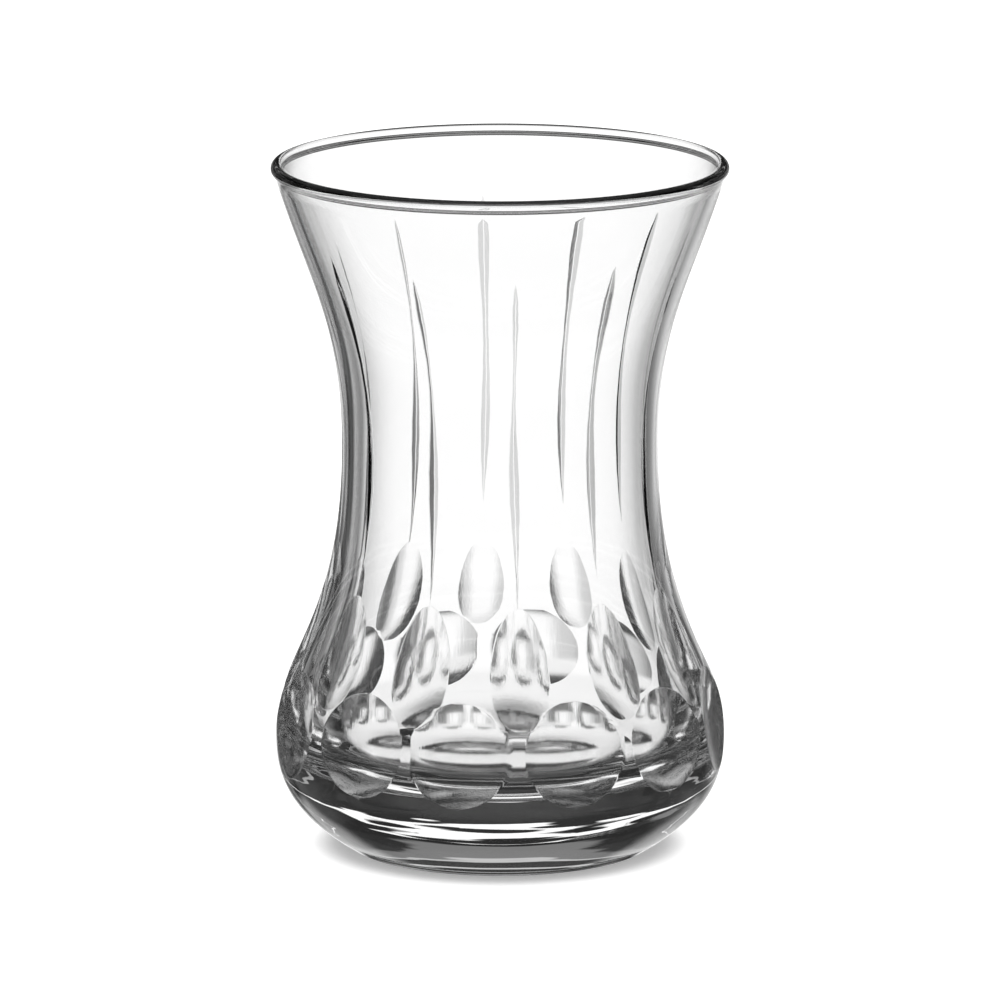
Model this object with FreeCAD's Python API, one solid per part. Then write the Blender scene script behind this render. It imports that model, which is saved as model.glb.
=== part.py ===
import FreeCAD, Part
import math
import os

# A waisted tea glass in clear cut glass, one solid of revolution with three rings of wheel cuts.
# Millimetres, +Z up, origin at the middle of the foot where it stands on the table.

# Outside of the wall: radius and height of its four key places, and the length of the curve handles there
foot_radius = 20.4
foot_height = 0.2
foot_slope = 31.0          # degrees above the table at which the side leaves the foot
foot_handle = 10.9
belly_radius = 30.1
belly_height = 15.7
belly_handle_down = 4.9
belly_handle_up = 9.7
waist_radius = 21.1
waist_height = 54.8
waist_handle_down = 24.6
waist_handle_up = 16.2
flare_slope = 17.0         # degrees off upright at the mouth
flare_radius = 29.9
flare_height = 90.9
flare_handle = 14.5

# Fire-polished lip, a round bead slightly thicker than the wall
bead_radius = 0.8
bead_centre_radius = 29.7
bead_centre_height = 91.95
bead_start = -15.0         # degrees from level at which the outer wall runs into the bead
neck_handle = 0.25

# Underside: a flat ring to stand on and a shallow hollow inside it
ring_inner_radius = 17.4
ring_outer_radius = 19.6
hollow_rise = 1.1

# Inside: bowl floor, widest place and waist, with the handles of its curves
floor_height = 10.4
floor_handle = 17.0
bowl_radius = 26.0
bowl_height = 19.0
bowl_handle_down = 8.5
bowl_handle_up = 6.5
inner_waist_radius = 19.5
inner_waist_height = 56.0
inner_waist_handle_down = 26.0
inner_waist_handle_up = 15.5
inner_flare_handle = 14.5

# Wheel cuts, all round the glass
cut_count = 12
first_cut_angle = -85.0    # degrees from +X of the first long cut, its olive cut below it
half_pitch = 180.0 / cut_count

# Long mitre cuts over the waist, made by a wheel with a pointed edge
mitre_wheel_radius = 67.0
mitre_half_angle = 72.0    # degrees from the wheel's middle plane to each flank
mitre_depth = 0.23
mitre_centre_height = 54.3
mitre_rim_depth = 2.0

# Olive cuts: wheel radius, rounding of its edge, height and radius of the wall there, lean of the wall, depth
upper_olive = dict(wheel=32.0, edge=14.0, height=28.4, radius=26.1, lean=22.5, depth=0.75, half_width=6.0)
lower_olive = dict(wheel=42.0, edge=25.0, height=18.3, radius=29.85, lean=9.5, depth=1.75, half_width=10.0)


def point(radius, height):
    return FreeCAD.Vector(radius, 0, height)


def aimed(start, angle, length):
    """A point at a distance from another, at an angle in degrees above level."""
    turn = math.radians(angle)
    return start + FreeCAD.Vector(math.cos(turn), 0, math.sin(turn)) * length


def curve(*poles):
    bezier = Part.BezierCurve()
    bezier.setPoles(list(poles))
    return bezier.toShape()


def outer_wall():
    """Foot to belly, belly to waist, waist to mouth: three curves that meet upright at belly and waist."""
    foot = point(foot_radius, foot_height)
    belly = point(belly_radius, belly_height)
    waist = point(waist_radius, waist_height)
    flare = point(flare_radius, flare_height)
    up = FreeCAD.Vector(0, 0, 1)
    return [
        curve(foot, aimed(foot, foot_slope, foot_handle), belly - up * belly_handle_down, belly),
        curve(belly, belly + up * belly_handle_up, waist - up * waist_handle_down, waist),
        curve(waist, waist + up * waist_handle_up, aimed(flare, -90 - flare_slope, flare_handle), flare),
    ]


def lip():
    """The short neck under the bead, and the bead's round from the outer wall over the top to the inner wall."""
    centre = point(bead_centre_radius, bead_centre_height)
    flare = point(flare_radius, flare_height)
    bead_bottom = aimed(centre, bead_start, bead_radius)
    bead_top = aimed(centre, 90, bead_radius)
    bead_inside = aimed(centre, 180 - flare_slope, bead_radius)
    neck = curve(flare, aimed(flare, 90 - flare_slope, neck_handle),
                 aimed(bead_bottom, bead_start - 90, neck_handle), bead_bottom)
    return [neck, Part.Arc(bead_bottom, bead_top, bead_inside).toShape()], bead_inside


def inner_wall(mouth):
    """Mouth to inner waist, waist to bowl, bowl to the middle of the floor."""
    waist = point(inner_waist_radius, inner_waist_height)
    bowl = point(bowl_radius, bowl_height)
    floor = point(0, floor_height)
    up = FreeCAD.Vector(0, 0, 1)
    return [
        curve(mouth, aimed(mouth, -90 - flare_slope, inner_flare_handle), waist + up * inner_waist_handle_up, waist),
        curve(waist, waist - up * inner_waist_handle_down, bowl + up * bowl_handle_up, bowl),
        curve(bowl, bowl - up * bowl_handle_down, point(floor_handle, floor_height), floor),
    ]


def underside():
    """From the axis: the shallow hollow, the flat ring, and the rounded corner up to the side."""
    axis_point = point(0, hollow_rise)
    ring_inside = point(ring_inner_radius, 0)
    ring_outside = point(ring_outer_radius, 0)
    foot = point(foot_radius, foot_height)
    hollow = curve(axis_point, point(ring_inner_radius / 2, hollow_rise), ring_inside)
    corner = curve(ring_outside, point((ring_outer_radius + foot_radius) / 2, 0), foot)
    return [hollow, Part.makeLine(ring_inside, ring_outside), corner], axis_point


def blank():
    """The uncut glass: the wall's section turned once round the axis."""
    base_edges, axis_point = underside()
    lip_edges, mouth = lip()
    axis_line = Part.makeLine(point(0, floor_height), axis_point)
    edges = base_edges + outer_wall() + lip_edges + inner_wall(mouth) + [axis_line]
    section = Part.Face(Part.Wire(Part.__sortEdges__(edges)))
    return section.revolve(FreeCAD.Vector(), FreeCAD.Vector(0, 0, 1), 360)


def wheel(outline, centre):
    """A cutting wheel: its edge outline turned round a level axis that stands across the glass's radius."""
    return Part.Face(Part.Wire(outline)).revolve(centre, FreeCAD.Vector(0, 1, 0), 360)


def mitre_wheel():
    """The wheel with a pointed edge, which leaves a long needle-shaped groove over the waist."""
    centre = FreeCAD.Vector(waist_radius - mitre_depth + mitre_wheel_radius, 0, mitre_centre_height)
    tip = centre - FreeCAD.Vector(mitre_wheel_radius, 0, 0)
    half_width = mitre_rim_depth * math.tan(math.radians(mitre_half_angle))
    left = tip + FreeCAD.Vector(mitre_rim_depth, half_width, 0)
    right = tip + FreeCAD.Vector(mitre_rim_depth, -half_width, 0)
    outline = [Part.makeLine(tip, left), Part.makeLine(left, right), Part.makeLine(right, tip)]
    return wheel(outline, centre)


def olive_wheel(cut):
    """A wheel with a rounded edge, pressed in along the wall's normal, which leaves an oval hollow."""
    lean = math.radians(cut["lean"])
    reach = cut["wheel"] - cut["depth"]
    centre = FreeCAD.Vector(cut["radius"] + reach * math.cos(lean), 0, cut["height"] + reach * math.sin(lean))
    tip = centre - FreeCAD.Vector(cut["wheel"], 0, 0)
    drop = cut["edge"] - math.sqrt(cut["edge"] ** 2 - cut["half_width"] ** 2)
    left = tip + FreeCAD.Vector(drop, cut["half_width"], 0)
    right = tip + FreeCAD.Vector(drop, -cut["half_width"], 0)
    outline = [Part.Arc(left, tip, right).toShape(), Part.makeLine(right, left)]
    return wheel(outline, centre)


def all_round(tool, start_angle):
    """The same wheel at every cut of a ring."""
    copies = []
    for index in range(cut_count):
        turned = tool.copy()
        turned.rotate(FreeCAD.Vector(), FreeCAD.Vector(0, 0, 1), start_angle + 2 * half_pitch * index)
        copies.append(turned)
    return copies


def tea_glass():
    """The blank with its mitre cuts, the upper olive cuts under them, and the lower ones between those."""
    wheels = all_round(mitre_wheel(), first_cut_angle)
    wheels += all_round(olive_wheel(upper_olive), first_cut_angle)
    wheels += all_round(olive_wheel(lower_olive), first_cut_angle + half_pitch)
    glass = blank()
    for one in wheels:
        glass = glass.cut(one)
    return glass.Solids[0]


os.makedirs("parts", exist_ok=True)
glass = tea_glass()
glass.exportStep("parts/tea_glass.step")
print("tea_glass", "valid", glass.isValid(), "volume", round(glass.Volume), "mm3",
      "weight", round(glass.Volume * 2.5e-6, 4), "kg", "faces", len(glass.Faces))
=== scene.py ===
import bpy
import math
import numpy as np
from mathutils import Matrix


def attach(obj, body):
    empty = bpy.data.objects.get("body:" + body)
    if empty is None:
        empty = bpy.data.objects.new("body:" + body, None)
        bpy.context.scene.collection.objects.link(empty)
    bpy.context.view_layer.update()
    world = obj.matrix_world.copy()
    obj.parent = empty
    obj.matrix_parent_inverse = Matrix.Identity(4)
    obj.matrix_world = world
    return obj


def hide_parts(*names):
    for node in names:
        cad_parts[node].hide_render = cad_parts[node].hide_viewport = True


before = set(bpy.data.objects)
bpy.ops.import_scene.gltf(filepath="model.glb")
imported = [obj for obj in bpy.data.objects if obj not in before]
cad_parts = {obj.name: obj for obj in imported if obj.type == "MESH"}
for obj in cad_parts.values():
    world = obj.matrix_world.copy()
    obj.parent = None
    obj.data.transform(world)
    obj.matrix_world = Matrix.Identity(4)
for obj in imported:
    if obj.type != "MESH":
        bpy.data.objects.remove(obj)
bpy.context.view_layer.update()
mm = 0.001


# Shader maths: wraps one socket, so that arithmetic on it adds Math nodes.
class Shade:
    def __init__(self, tree, socket=None):
        self.tree = tree
        self.socket = socket

    # Any node: its type, its settings, then the values or links of its sockets.
    def node(self, kind, settings=None, inputs=None, output=0):
        made = self.tree.nodes.new(kind)
        for name, value in (settings or {}).items():
            setattr(made, name, value)
        for name, value in (inputs or {}).items():
            if isinstance(value, Shade):
                self.tree.links.new(value.socket, made.inputs[name])
            else:
                made.inputs[name].default_value = value
        return Shade(self.tree, made.outputs[output]) if len(made.outputs) else self

    def lightPath(self, output):
        return self.node("ShaderNodeLightPath", output=output)

    def math(self, operation, first, second=0.0):
        return self.node("ShaderNodeMath", {"operation": operation}, {0: first, 1: second})

    def __add__(self, other):
        return self.math("ADD", self, other)

    def __sub__(self, other):
        return self.math("SUBTRACT", self, other)

    def __rsub__(self, other):
        return self.math("SUBTRACT", other, self)

    def __mul__(self, other):
        return self.math("MULTIPLY", self, other)

    def __truediv__(self, other):
        return self.math("DIVIDE", self, other)

    __radd__ = __add__
    __rmul__ = __mul__

    # 0 below low, 1 above high, an S-curve between; low may be the larger one
    def ramp(self, low, high):
        return self.node("ShaderNodeMapRange", {"interpolation_type": "SMOOTHSTEP"},
                         {"Value": self, "From Min": low, "From Max": high})


def newMaterial(name):
    material = bpy.data.materials.new(name)
    material.use_nodes = True
    material.node_tree.nodes.clear()
    return material, Shade(material.node_tree)


# The glass, in millimetres; its curves are the CAD's, so both stand in the same box.
glass = {
    "foot": (20.4, 0.2), "footSlope": 31.0, "footHandle": 10.9,
    "belly": (30.1, 15.7), "bellyHandles": (4.9, 9.7),
    "waist": (21.1, 54.8), "waistHandles": (24.6, 16.2),
    "flare": (29.9, 90.9), "flareSlope": 17.0, "flareHandle": 14.5,
    "beadCentre": (29.7, 91.95), "beadRadius": 0.8, "beadStart": -15.0, "neckHandle": 0.25,
    "ring": (17.4, 19.6), "hollowRise": 1.1,
    "floorHeight": 10.4, "floorHandle": 17.0,
    "bowl": (26.0, 19.0), "bowlHandles": (8.5, 6.5),
    "innerWaist": (19.5, 56.0), "innerWaistHandles": (26.0, 15.5),
}

# The wheel cuts: each wheel's radius, its edge, and where it was pressed in.
cuts = {
    "count": 12, "firstAngle": -85.0,
    "mitre": {"wheel": 67.0, "halfAngle": 72.0, "depth": 0.23, "height": 54.3},
    "upper": {"wheel": 32.0, "edge": 14.0, "height": 28.4, "radius": 26.1, "lean": 22.5, "depth": 0.75},
    "lower": {"wheel": 42.0, "edge": 25.0, "height": 18.3, "radius": 29.85, "lean": 9.5, "depth": 1.75},
    "arris": 0.22,          # degrees that the rounded edge of a cut takes on each side
    "leastHalfWidth": 0.25,  # degrees kept between the columns where there is no cut
    # The hand's strays, in degrees. The seed isn't arbitrary: it is the best of 60000 that were tried, for strays
    # like those of seven of the real glass's cuts.
    "handSeed": 25278, "longShift": 0.8, "lowShift": 1.1,
    "twist": 1.3, "twistLength": 46.0,                  # degrees, over millimetres of a long cut
    "sway": ((0.22, 31.0), (0.05, 4.3), (0.03, 1.9)),   # degrees to the side, and millimetres to the next
    "swayStart": 20.0,                                  # how much the stray moves a sway along
    "heightShift": 0.5,                                 # millimetres
    "widestHalf": 14.0, "leastGap": 0.01,               # degrees, and radians between two cuts' edges
    "evenBelow": (9.0, 2.0), "evenAbove": (83.0, 90.0),  # heights over which the columns become evenly spaced
    "longMark": 0.5, "sunk": 0.002,  # share of the wheel's marks on a long cut, and what counts as cut, in mm
}

# How finely each part is drawn. The heights crowd together at each place by a gain over a spread.
grid = {
    "wallCurve": 400, "wallRows": 142, "bead": 16, "insideWall": 21, "floor": 16,
    "underside": 10, "corner": 6,
    "crowding": [(11.5, 4.0, 0.8), (21.8, 4.0, 0.8), (25.2, 4.0, 0.8), (36.8, 4.0, 0.8), (24.0, 2.0, 12.0),
                 (79.0, 3.0, 3.0)],
    "besideCut": 3, "inLongCut": 3, "inLowCut": 4,
}


# Cubic curve: each point is the four poles weighed by (1-t)^3, 3(1-t)^2 t, 3(1-t) t^2 and t^3.
def bezier(poles, count):
    t = np.linspace(0.0, 1.0, count)[:, None]
    a, b, c, d = [np.array(pole, dtype=float) for pole in poles]
    return (1 - t) ** 3 * a + 3 * (1 - t) ** 2 * t * b + 3 * (1 - t) * t ** 2 * c + t ** 3 * d


# The point at a distance from a start, at an angle in degrees above level.
def aimed(start, angle, length):
    turn = math.radians(angle)
    return (start[0] + length * math.cos(turn), start[1] + length * math.sin(turn))


# Outer wall as radius and height, from the foot over belly and waist to the mouth.
def outerWall(count):
    foot, belly, waist, flare = glass["foot"], glass["belly"], glass["waist"], glass["flare"]
    bellyDown, bellyUp = glass["bellyHandles"]
    waistDown, waistUp = glass["waistHandles"]
    low = bezier([foot, aimed(foot, glass["footSlope"], glass["footHandle"]),
                  (belly[0], belly[1] - bellyDown), belly], count)
    middle = bezier([belly, (belly[0], belly[1] + bellyUp),
                     (waist[0], waist[1] - waistDown), waist], count)
    high = bezier([waist, (waist[0], waist[1] + waistUp),
                   aimed(flare, -90 - glass["flareSlope"], glass["flareHandle"]), flare], count)
    return np.concatenate([low, middle[1:], high[1:]])


# Neck and bead: a short curve, then an arc from under the bead's middle over the top to the inner wall.
def lip(count):
    centre, radius, start = glass["beadCentre"], glass["beadRadius"], glass["beadStart"]
    flare = glass["flare"]
    under = aimed(centre, start, radius)
    neck = bezier([flare, aimed(flare, 90 - glass["flareSlope"], glass["neckHandle"]),
                   aimed(under, start - 90, glass["neckHandle"]), under], 5)
    turn = np.radians(np.linspace(start, 180 - glass["flareSlope"], count))
    bead = np.stack([centre[0] + radius * np.cos(turn), centre[1] + radius * np.sin(turn)], 1)
    return np.concatenate([neck[1:], bead[1:]])


# Inner wall and floor, from the lip down to the middle of the floor.
def inside(mouth, wallCount, floorCount):
    waist, bowl = glass["innerWaist"], glass["bowl"]
    waistDown, waistUp = glass["innerWaistHandles"]
    bowlDown, bowlUp = glass["bowlHandles"]
    high = bezier([mouth, aimed(mouth, -90 - glass["flareSlope"], glass["flareHandle"]),
                   (waist[0], waist[1] + waistUp), waist], wallCount)
    low = bezier([waist, (waist[0], waist[1] - waistDown),
                  (bowl[0], bowl[1] + bowlUp), bowl], wallCount)
    floor = bezier([bowl, (bowl[0], bowl[1] - bowlDown), (glass["floorHandle"], glass["floorHeight"]),
                    (0.0, glass["floorHeight"])], floorCount)
    return np.concatenate([high[1:], low[1:], floor[1:]])


# Underside from the axis outwards: a shallow hollow (a parabola), the flat ring and the rounded corner.
def underside(count):
    inner, outer = glass["ring"]
    foot = glass["foot"]
    t = np.linspace(0.0, 1.0, count)
    hollow = np.stack([inner * t, glass["hollowRise"] * (1 - t ** 2)], 1)
    middle = (outer + foot[0]) / 2
    corner = bezier([(outer, 0.0), ((outer + 2 * middle) / 3, 0.0),
                     ((foot[0] + 2 * middle) / 3, foot[1] / 3), foot], grid["corner"])
    return np.concatenate([hollow, corner])


# Radius left by a wheel at a height and an angle off its middle plane: the wheel's edge is nearer its axle by
# the drop of the edge outline at that offset across, and the radius is solved by repeating the offset.
def wheelRadius(axleRadius, axleHeight, wheel, drop, angle, height):
    radius = np.full(np.broadcast(angle, height).shape, glass["waist"][0])
    for _ in range(24):
        reach = (wheel - drop(np.abs(radius * np.sin(angle)))) ** 2 - (height - axleHeight) ** 2
        radius = np.where(reach > 0, (axleRadius - np.sqrt(np.maximum(reach, 0))) / np.cos(angle), 99.0)
        radius = np.clip(radius, 1.0, 99.0)
    return radius


# Long cut: the wheel's edge is a point, so the drop is the offset across times the slope of its flank.
def mitreCut(angle, height):
    cut = cuts["mitre"]
    slope = 1 / math.tan(math.radians(cut["halfAngle"]))
    axle = glass["waist"][0] - cut["depth"] + cut["wheel"]
    return wheelRadius(axle, cut["height"], cut["wheel"], lambda across: across * slope, angle, height)


# Oval cut: the wheel's edge is round, so the drop is e - sqrt(e^2 - offset^2). Its axle leans off the wall.
def oliveCut(cut, angle, height):
    lean = math.radians(cut["lean"])
    reach = cut["wheel"] - cut["depth"]
    edge = cut["edge"]
    axle = cut["radius"] + reach * math.cos(lean)
    axleHeight = cut["height"] + reach * math.sin(lean)
    drop = lambda across: edge - np.sqrt(np.maximum(edge ** 2 - across ** 2, 0))
    return wheelRadius(axle, axleHeight, cut["wheel"], drop, angle, height)


# Half-angle at which a cut meets the wall, by halving the bracket 0 to the widest; 0 where there is no cut.
def halfAngle(cutRadius, wallRadius):
    low = np.zeros_like(wallRadius)
    high = np.full_like(wallRadius, math.radians(cuts["widestHalf"]))
    present = cutRadius(low) < wallRadius
    for _ in range(30):
        middle = (low + high) / 2
        within = cutRadius(middle) < wallRadius
        low, high = np.where(within, middle, low), np.where(within, high, middle)
    return np.where(present, low, 0.0)


# Heights from low to high that crowd together at the ends of the cuts: equal steps of the running sum of
# 1 + gain exp(-((height - place) / spread)^2).
def crowdedHeights(low, high, count, places):
    fine = np.linspace(low, high, 4000)
    crowd = np.ones_like(fine)
    for place, gain, spread in places:
        crowd = crowd + gain * np.exp(-((fine - place) / spread) ** 2)
    steps = np.concatenate([[0.0], np.cumsum((crowd[1:] + crowd[:-1]) / 2)])
    return np.interp(np.linspace(0, steps[-1], count), steps, fine)


# Columns of one span between two cut edges: a narrow one at each crisp end, even ones between.
def spanColumns(start, end, inner, crispStart, crispEnd):
    width = end - start
    edge = np.minimum(math.radians(cuts["arris"]), 0.25 * width)
    first = start + (edge if crispStart else 0 * edge)
    last = end - (edge if crispEnd else 0 * edge)
    between = [first + (last - first) * (k / (inner + 1)) for k in range(1, inner + 1)]
    columns = [start] + ([first] if crispStart else []) + between + ([last] if crispEnd else [])
    return np.stack(columns, -1)


# The cut wall: the least of the plain wall's radius and the radii of the cuts, on rows of equal height and
# columns that follow the middle and the edges of every cut. The last value says where the wheel left marks.
def cutWall():
    profile = outerWall(grid["wallCurve"])
    heights = crowdedHeights(glass["foot"][1], glass["flare"][1], grid["wallRows"], grid["crowding"])
    radii = np.interp(heights, profile[:, 1], profile[:, 0])
    count = cuts["count"]
    pitch = 2 * math.pi / count
    index = np.arange(count)[:, None]
    lowStray, longStray, lift = np.random.default_rng(cuts["handSeed"]).uniform(-1, 1, (3, count, 1))
    # each cut's own heights, and the half-angles of its two edges there
    level = heights + lift * cuts["heightShift"]
    wall = np.broadcast_to(radii, level.shape)
    longOutline = lambda angle: np.minimum(mitreCut(angle, level), oliveCut(cuts["upper"], angle, level))
    lowOutline = lambda angle: oliveCut(cuts["lower"], angle, level)
    least = math.radians(cuts["leastHalfWidth"])
    longHalf = np.maximum(halfAngle(longOutline, wall), least)
    lowHalf = np.maximum(halfAngle(lowOutline, wall), least)
    # the middle lines: regular steps, and the hand's stray, twist and sway on top
    regular = math.radians(cuts["firstAngle"]) + pitch * index
    below = (cuts["mitre"]["height"] - heights) / cuts["twistLength"]
    sway = sum(reach * np.sin(2 * np.pi * heights / length + cuts["swayStart"] * longStray)
               for reach, length in cuts["sway"])
    spine = regular + np.radians(longStray * cuts["longShift"] + below * cuts["twist"] + sway)
    lowSpine = regular + pitch / 2 + np.radians(lowStray * cuts["lowShift"]) + 0 * level
    nextSpine = np.roll(spine, -1, 0)
    nextSpine[-1] += 2 * math.pi
    nextHalf = np.roll(longHalf, -1, 0)
    gap = np.minimum(lowSpine - spine - longHalf, nextSpine - nextHalf - lowSpine)
    lowHalf = np.minimum(lowHalf, gap - cuts["leastGap"])
    angles = np.concatenate([
        spanColumns(spine, spine + longHalf, grid["inLongCut"], True, True),
        spanColumns(spine + longHalf, lowSpine - lowHalf, grid["besideCut"], True, True),
        spanColumns(lowSpine - lowHalf, lowSpine, grid["inLowCut"], True, False),
        spanColumns(lowSpine, lowSpine + lowHalf, grid["inLowCut"], False, True),
        spanColumns(lowSpine + lowHalf, nextSpine - nextHalf, grid["besideCut"], True, True),
        spanColumns(nextSpine - nextHalf, nextSpine, grid["inLongCut"], True, True)], -1)
    # the radii of the three cuts at every column
    cell = angles.shape[-1]
    levels = level[..., None] + 0 * angles
    nextLevels = np.roll(levels, -1, 0)
    walls = wall[..., None] + 0 * angles
    before, low, after = [angles - line[..., None] for line in (spine, lowSpine, nextSpine)]
    longCut = np.minimum(mitreCut(before, levels), mitreCut(after, nextLevels))
    upCut = np.minimum(oliveCut(cuts["upper"], before, levels), oliveCut(cuts["upper"], after, nextLevels))
    lowCut = oliveCut(cuts["lower"], low, levels)
    ovalCut = np.minimum(upCut, lowCut)
    radius = np.minimum(np.minimum(walls, longCut), ovalCut)
    inOval = ovalCut < walls - cuts["sunk"]
    inLong = longCut < np.minimum(walls, upCut) - cuts["sunk"]
    marks = inOval * 1.0 + inLong * cuts["longMark"]
    toRows = lambda values: values.transpose(1, 0, 2).reshape(len(heights), count * cell)
    angles, radius, marks = toRows(angles), toRows(radius), toRows(marks)
    # away from the cuts the columns relax to even steps, by the S-curve 3x^2 - 2x^3
    even = angles[:, :1] + np.linspace(0, 2 * math.pi, count * cell, endpoint=False)[None, :]
    share = [(heights - start) / (end - start) for start, end in (cuts["evenAbove"], cuts["evenBelow"])]
    relax = np.clip(np.maximum(*share), 0, 1)[:, None]
    relax = relax * relax * (3 - 2 * relax)
    angles = angles * (1 - relax) + even * relax
    return angles, radius, np.broadcast_to(heights[:, None], angles.shape), marks


# Direction of a curve through three points: the two chords' directions, each weighed by the other's length.
def curveDirection(before, here, after):
    back, ahead = here - before, after - here
    backLength = np.linalg.norm(back, axis=-1, keepdims=True) + 1e-9
    aheadLength = np.linalg.norm(ahead, axis=-1, keepdims=True) + 1e-9
    return (back / backLength * aheadLength + ahead / aheadLength * backLength) / (backLength + aheadLength)


# Outward normals of a skin of rings: the direction along the ring crossed with that to the next ring.
def ringNormals(rings, poles):
    ends = [np.broadcast_to(np.array(pole), rings[:1].shape) for pole in poles]
    column = np.concatenate([ends[0], rings, ends[1]])
    upward = curveDirection(column[:-2], rings, column[2:])
    around = curveDirection(np.roll(rings, 1, 1), rings, np.roll(rings, -1, 1))
    normals = np.cross(around, upward)
    normals = normals / np.linalg.norm(normals, axis=-1, keepdims=True)
    return np.concatenate([normals.reshape(-1, 3), [(0, 0, -1), (0, 0, 1)]])


# Closed skin of rings: each ring is joined to the next by quads, and the two ends close on a pole.
def ringMesh(name, rings, poles, attributes):
    rows, columns = rings.shape[:2]
    points = np.concatenate([rings.reshape(-1, 3), np.array(poles)]) * mm
    row, column = np.meshgrid(np.arange(rows - 1), np.arange(columns), indexing="ij")
    right = (column + 1) % columns
    quads = np.stack([row * columns + column, row * columns + right, (row + 1) * columns + right,
                      (row + 1) * columns + column], -1).reshape(-1, 4)
    ends = np.arange(columns)
    nextEnds = (ends + 1) % columns
    last = (rows - 1) * columns
    firstFan = np.stack([nextEnds, ends, np.full(columns, rows * columns)], 1)
    lastFan = np.stack([last + ends, last + nextEnds, np.full(columns, rows * columns + 1)], 1)
    mesh = bpy.data.meshes.new(name)
    mesh.vertices.add(len(points))
    mesh.vertices.foreach_set("co", points.ravel())
    loops = np.concatenate([quads.ravel(), firstFan.ravel(), lastFan.ravel()])
    sizes = np.concatenate([np.full(len(quads), 4), np.full(2 * columns, 3)])
    mesh.loops.add(len(loops))
    mesh.loops.foreach_set("vertex_index", loops.astype(np.int32))
    mesh.polygons.add(len(sizes))
    mesh.polygons.foreach_set("loop_start", np.concatenate([[0], np.cumsum(sizes)[:-1]]).astype(np.int32))
    mesh.polygons.foreach_set("use_smooth", np.ones(len(sizes), dtype=bool))
    mesh.update(calc_edges=True)
    mesh.validate()
    for label, values in attributes.items():
        layer = mesh.attributes.new(label, "FLOAT", "POINT")
        layer.data.foreach_set("value", np.concatenate([values.ravel(), [0.0, 0.0]]).astype(np.float32))
    mesh.normals_split_custom_set_from_vertices(ringNormals(rings, poles))
    thing = bpy.data.objects.new(name, mesh)
    bpy.context.scene.collection.objects.link(thing)
    return thing


# Rings of x = r cos(a), y = r sin(a), z = height.
def turned(radius, height, angles):
    return np.stack([radius * np.cos(angles), radius * np.sin(angles), height + 0 * angles], -1)


# The whole skin in one piece: underside, cut wall, lip, inner wall and floor, closed on the axis at its ends.
def makeGlass():
    angles, radius, height, wallMarks = cutWall()
    rim = lip(grid["bead"])
    within = inside(tuple(rim[-1]), grid["insideWall"], grid["floor"])
    under = underside(grid["underside"])
    lowPole, highPole = (0.0, 0.0, under[0, 1]), (0.0, 0.0, within[-1, 1])
    foot, top = under[1:-1, :, None], np.concatenate([rim, within[:-1]])[:, :, None]
    rings = np.concatenate([turned(foot[:, 0], foot[:, 1], angles[:1]), turned(radius, height, angles),
                            turned(top[:, 0], top[:, 1], angles[-1:])])
    marks = np.zeros(rings.shape[:2])
    marks[len(foot):len(foot) + len(wallMarks)] = wallMarks
    thing = ringMesh("cut_glass", rings, [lowPole, highPole], {"wheelMark": marks})
    print("tea glass: body", len(thing.data.vertices), "points,", rings.shape)
    return thing


# Clear soda-lime glass. The wheel leaves fine upright scratches in the cuts, and the foot is slightly wavy.
finish = {
    "bend": 1.52,           # index of refraction
    "markWidth": 0.16, "markLength": 5.0, "markDepth": 0.018,  # millimetres across, along and deep
    "waveWidth": 26.0, "waveHeight": 1.5, "waveDepth": 0.045,  # on the foot, in millimetres
    "waveTop": (12.0, 9.0),  # no waves above the first height, full waves under the second
    "markRoughness": 0.13,
    "thinFrom": (1.0, 4.8),  # heights between which the shadow goes from dark to light
    "thinShade": 0.995, "thickShade": 0.10,
}


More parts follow.
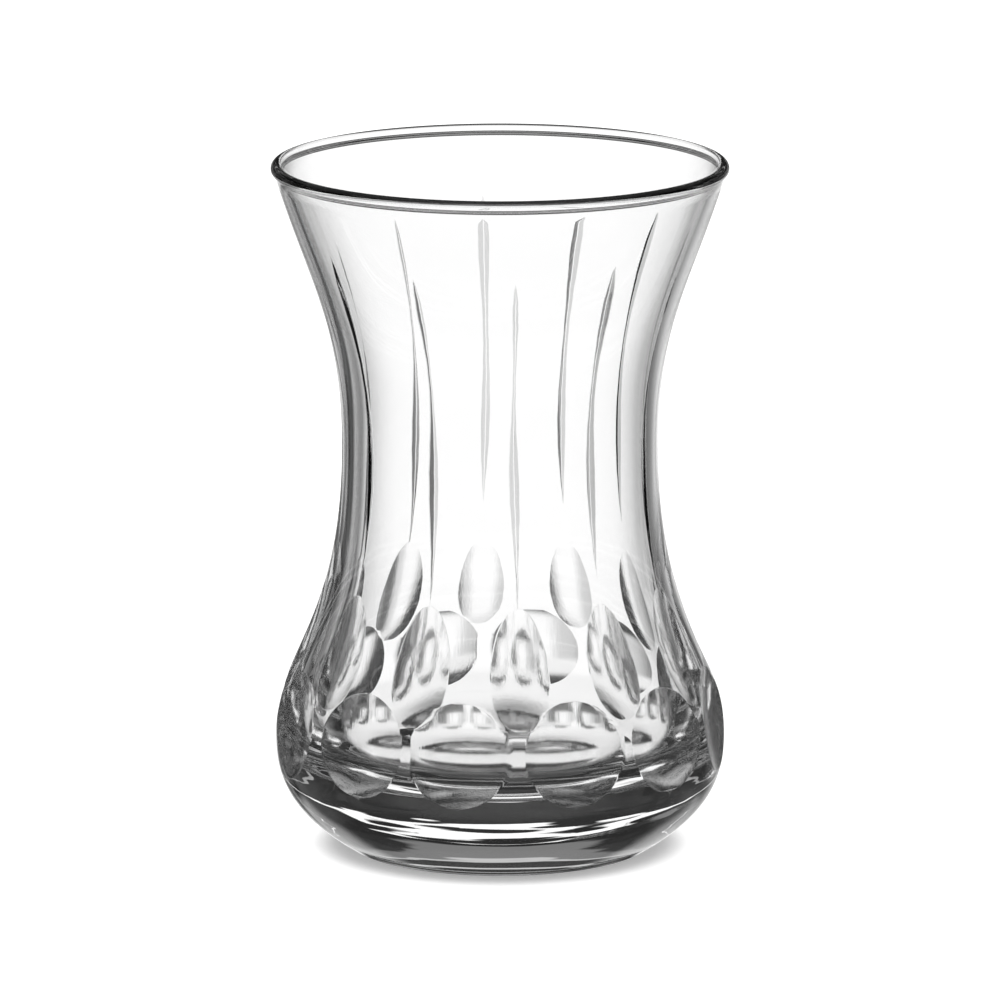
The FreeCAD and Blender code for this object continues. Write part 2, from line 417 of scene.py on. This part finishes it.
def glassMaterial():
    material, shade = newMaterial("clearCutGlass")
    place = shade.node("ShaderNodeTexCoord", output="Object")
    height = place.node("ShaderNodeSeparateXYZ", {}, {0: place}, output=2)
    mark = shade.node("ShaderNodeAttribute", {"attribute_name": "wheelMark"}, output="Fac")
    across, along = 1 / (finish["markWidth"] * mm), 1 / (finish["markLength"] * mm)
    scratchPlace = place.node("ShaderNodeMapping", {}, {"Vector": place, "Scale": (across, across, along)})
    scratch = shade.node("ShaderNodeTexNoise", {}, {"Vector": scratchPlace, "Scale": 0.5, "Detail": 3.0})
    wide, high = 1 / (finish["waveWidth"] * mm), 1 / (finish["waveHeight"] * mm)
    wavePlace = place.node("ShaderNodeMapping", {}, {"Vector": place, "Scale": (wide, wide, high)})
    wave = shade.node("ShaderNodeTexNoise", {}, {"Vector": wavePlace, "Scale": 0.5, "Detail": 2.0})
    noWave, fullWave = finish["waveTop"]
    onFoot = height.ramp(noWave * mm, fullWave * mm)
    relief = scratch * mark * (finish["markDepth"] * mm) + wave * onFoot * (finish["waveDepth"] * mm)
    bump = shade.node("ShaderNodeBump", {}, {"Height": relief, "Strength": 1.0, "Distance": 1.0})
    body = shade.node("ShaderNodeBsdfPrincipled", {}, {
        "Base Color": (1, 1, 1, 1), "Roughness": mark * finish["markRoughness"], "IOR": finish["bend"],
        "Transmission Weight": 1.0, "Normal": bump})
    # A stand-in for the light that the glass would really bend on to the table: shadow and diffuse rays go
    # straight through, weakly near the foot.
    thin, thick = [shade.node("ShaderNodeBsdfTransparent", {}, {"Color": (finish[key],) * 3 + (1,)})
                   for key in ("thinShade", "thickShade")]
    thickTop, thinBottom = finish["thinFrom"]
    thinness = height.ramp(thickTop * mm, thinBottom * mm)
    clear = shade.node("ShaderNodeMixShader", {}, {0: thinness, 1: thick, 2: thin})
    shadowRay, diffuseRay = shade.lightPath("Is Shadow Ray"), shade.lightPath("Is Diffuse Ray")
    fromTable = shadowRay.math("MAXIMUM", shadowRay, diffuseRay)
    mixed = shade.node("ShaderNodeMixShader", {}, {0: fromTable, 1: body, 2: clear})
    shade.node("ShaderNodeOutputMaterial", {}, {"Surface": mixed})
    return material


# Light tent round the glass, seen only by what passes through the glass or glances off it. It turns with the
# camera, as cards round a turntable do: white behind the glass, grey to black beside it, and dark with a few
# thin bright bands above the horizon. Each row is two angles in degrees and the change of brightness between
# them. Angles across are counted from behind the glass to its right. The bands were placed for this one view.
tent = {
    "radius": 3.0, "centreHeight": 0.046, "power": 1.18, "farSide": 0.02,
    "window": [(-72, -60, 0.06), (-54, -46, 0.12), (-42, -36, -0.17), (-28, -24, 0.32), (-22, -19, -0.18),
               (-15, -11, 0.53), (-10, -4, 0.30), (5, 13, -0.35), (14, 34, -0.49), (34, 50, -0.12)],
    "table": [(-70, -50, 0.10), (-44, -30, 0.67), (28, 44, -0.62), (50, 70, -0.12)],
    "farTable": 0.12, "overhead": 0.02, "deepShade": 0.08,
    "deep": (-48.0, -38.0), "tableEdge": (-29.0, -24.0), "horizon": (-4.2, -2.6),
    "above": [(-1.2, -1.0, 0.50), (-0.7, -0.5, -0.50), (0.2, 0.4, 0.60), (0.7, 0.9, -0.60), (2.9, 3.1, 0.50),
              (3.4, 3.7, -0.34), (5.2, 6.0, -0.16), (12.2, 12.35, 1.0), (12.65, 12.8, -1.0),
              (16.3, 16.5, 0.45), (16.9, 17.2, -0.45),
              (26.0, 34.0, 0.15), (45.0, 70.0, 0.35)],
    "waver": 0.8, "waverScale": 2.5,  # degrees that the bands stray from level, and how often
    "columns": 96, "rings": 48, "lastRing": 1.5,  # the sphere's grid, and its last ring's angle in radians
}


# The start value and every change that the coordinate has passed.
def stepped(coordinate, start, steps):
    level = coordinate.ramp(steps[0][0], steps[0][1]) * steps[0][2] + start
    for low, high, change in steps[1:]:
        level = level + coordinate.ramp(low, high) * change
    return level


# Sphere: rings of x = r cos(e) cos(a), y = r cos(e) sin(a), z = r sin(e). Its material works out the angle
# across as arctan(x / y) and the rise as arcsin(z), and takes the brightness there.
def makeTent():
    turn, rise = np.meshgrid(np.linspace(-np.pi, np.pi, tent["columns"], endpoint=False),
                             np.linspace(-tent["lastRing"], tent["lastRing"], tent["rings"]))
    around = np.stack([np.cos(rise) * np.cos(turn), np.cos(rise) * np.sin(turn), np.sin(rise)], -1)
    shell = ringMesh("lightTent", around * tent["radius"] / mm,
                     [(0, 0, -tent["radius"] / mm), (0, 0, tent["radius"] / mm)], {})
    material, shade = newMaterial("tentLight")
    material.cycles.emission_sampling = "NONE"
    way = shade.node("ShaderNodeTexCoord", output="Object")
    unit = way.node("ShaderNodeVectorMath", {"operation": "NORMALIZE"}, {0: way})
    waver = way.node("ShaderNodeTexNoise", {}, {"Vector": unit, "Scale": tent["waverScale"], "Detail": 1.0})
    x, y, z = [unit.node("ShaderNodeSeparateXYZ", {}, {0: unit}, output=k) for k in range(3)]
    across = x.math("ARCTAN2", x, y) * (180 / math.pi)
    rise = z.math("ARCSINE", z) * (180 / math.pi) + (waver - 0.5) * (2 * tent["waver"])
    window = stepped(across, tent["farSide"], tent["window"])
    nearTable = stepped(across, tent["farTable"], tent["table"])
    above = stepped(rise, tent["overhead"], tent["above"])
    overTable = rise.ramp(*tent["tableEdge"])
    overHorizon = rise.ramp(*tent["horizon"])
    deep = rise.ramp(*tent["deep"]) * (1 - tent["deepShade"]) + tent["deepShade"]
    level = nearTable * deep * (1 - overTable) + window * (overTable - overHorizon) + above * overHorizon
    glow = shade.node("ShaderNodeEmission", {}, {"Color": level * tent["power"]})
    shade.node("ShaderNodeOutputMaterial", {}, {"Surface": glow})
    shell.data.materials.append(material)
    shell.location = (0, 0, tent["centreHeight"])
    shell.visible_camera = False
    shell.visible_diffuse = False
    shell.visible_shadow = False
    return shell


room = {"ambient": 0.75, "lampPower": 8.0, "lampSize": 0.8, "lampPlace": (0.0, 0.2, 1.2)}


# White to the camera, and a soft even light on everything else.
def makeWorld():
    world = bpy.data.worlds.new("softRoom")
    bpy.context.scene.world = world
    world.use_nodes = True
    world.node_tree.nodes.clear()
    shade = Shade(world.node_tree)
    camera = shade.node("ShaderNodeLightPath", output="Is Camera Ray")
    strength = camera + (1 - camera) * room["ambient"]
    back = shade.node("ShaderNodeBackground", {}, {"Color": (1, 1, 1, 1), "Strength": strength})
    shade.node("ShaderNodeOutputWorld", {}, {"Surface": back})


# Table. What passes through the glass sees it only right under the foot, as painted light and shade: a bright
# glow in a band from side to side, and painted shade, dark, in front and behind. No lamp casts either.
# Beyond the foot such rays go on to the tent.
table = {
    "half": 4.0, "colour": 0.85,
    "glow": 0.25, "farGlow": 0.3, "farFrom": (0.15, 0.9),  # what the camera sees added, and more far away
    # the painted light and shade under the foot: its radius, the depths of the lit band's two edges, and its
    # levels
    "underFoot": 0.0212, "litFrom": (-0.0105, -0.0075), "litTo": (0.0045, 0.0015), "lit": 1.05, "unlit": 0.03,
}


def makeFloor():
    size = table["half"]
    mesh = bpy.data.meshes.new("table")
    corners = [(-size, -size, 0), (size, -size, 0), (size, size, 0), (-size, size, 0)]
    mesh.from_pydata(corners, [], [(0, 1, 2, 3)])
    top = bpy.data.objects.new("table", mesh)
    bpy.context.scene.collection.objects.link(top)
    material, shade = newMaterial("whiteTable")
    material.cycles.emission_sampling = "NONE"
    cameraRay = shade.lightPath("Is Camera Ray")
    through = shade.lightPath("Is Transmission Ray")
    glossy = shade.lightPath("Is Glossy Ray")
    paint = shade.node("ShaderNodeBsdfDiffuse", {}, {"Color": (table["colour"],) * 3 + (1,)})
    place = shade.node("ShaderNodeTexCoord", output="Object")
    distance = place.node("ShaderNodeVectorMath", {"operation": "LENGTH"}, {0: place}, output=1)
    white = cameraRay * (distance.ramp(*table["farFrom"]) * table["farGlow"] + table["glow"])
    glow = shade.node("ShaderNodeEmission", {}, {"Color": white})
    lit = shade.node("ShaderNodeAddShader", {}, {0: paint, 1: glow})
    depth = place.node("ShaderNodeSeparateXYZ", {}, {0: place}, output=1)
    # painted light and shade seen through the glass under the foot: bright between the two depths, dark outside
    paintedUnderFoot = depth.ramp(*table["litFrom"]) * depth.ramp(*table["litTo"]) * table["lit"] + table["unlit"]
    under = shade.node("ShaderNodeEmission", {}, {"Color": paintedUnderFoot})
    clear = shade.node("ShaderNodeBsdfTransparent")
    beside = distance.math("GREATER_THAN", distance, table["underFoot"])
    seen = shade.node("ShaderNodeMixShader", {}, {0: beside, 1: under, 2: clear})
    byGlass = through.math("MAXIMUM", through, glossy)
    mixed = shade.node("ShaderNodeMixShader", {}, {0: byGlass, 1: lit, 2: seen})
    shade.node("ShaderNodeOutputMaterial", {}, {"Surface": mixed})
    mesh.materials.append(material)


# A wide soft lamp overhead, for the shadow on the table only.
def makeLamp():
    light = bpy.data.lights.new("overhead", "AREA")
    light.shape = "SQUARE"
    light.size = room["lampSize"]
    light.energy = room["lampPower"]
    lamp = bpy.data.objects.new("overhead", light)
    lamp.location = room["lampPlace"]
    bpy.context.scene.collection.objects.link(lamp)
    lamp.visible_glossy = False
    lamp.visible_transmission = False


camera = {"distance": 1.4, "height": 0.3401, "down": 11.831, "lens": 385.23}  # metres, degrees, millimetres


# From afar and a little above, looking down on the glass.
def makeCamera():
    data = bpy.data.cameras.new("camera")
    data.lens = camera["lens"]
    data.sensor_width = 36.0
    data.clip_end = 20
    view = bpy.data.objects.new("camera", data)
    view.location = (0.0, -camera["distance"], camera["height"])
    view.rotation_euler = (math.radians(90 - camera["down"]), 0, 0)
    bpy.context.scene.collection.objects.link(view)
    bpy.context.scene.camera = view
    return view


teaGlass = makeGlass()
teaGlass.data.materials.append(glassMaterial())
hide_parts("tea_glass")
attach(teaGlass, "root")
print("tea glass: clear glass on the body")
makeWorld()
makeFloor()
makeLamp()
view = makeCamera()
lightTent = makeTent()
print("tea glass: table, lamp, camera and light tent")
# the tent turns with the camera, upright round the glass
bpy.context.view_layer.update()
lightTent.parent = view
lightTent.matrix_parent_inverse = view.matrix_world.inverted()
scene = bpy.context.scene
scene.view_settings.view_transform = "Standard"
# light passes many walls of glass before it comes out
scene.cycles.max_bounces = 22
scene.cycles.transmission_bounces = 20
scene.cycles.glossy_bounces = 12
scene.cycles.transparent_max_bounces = 16
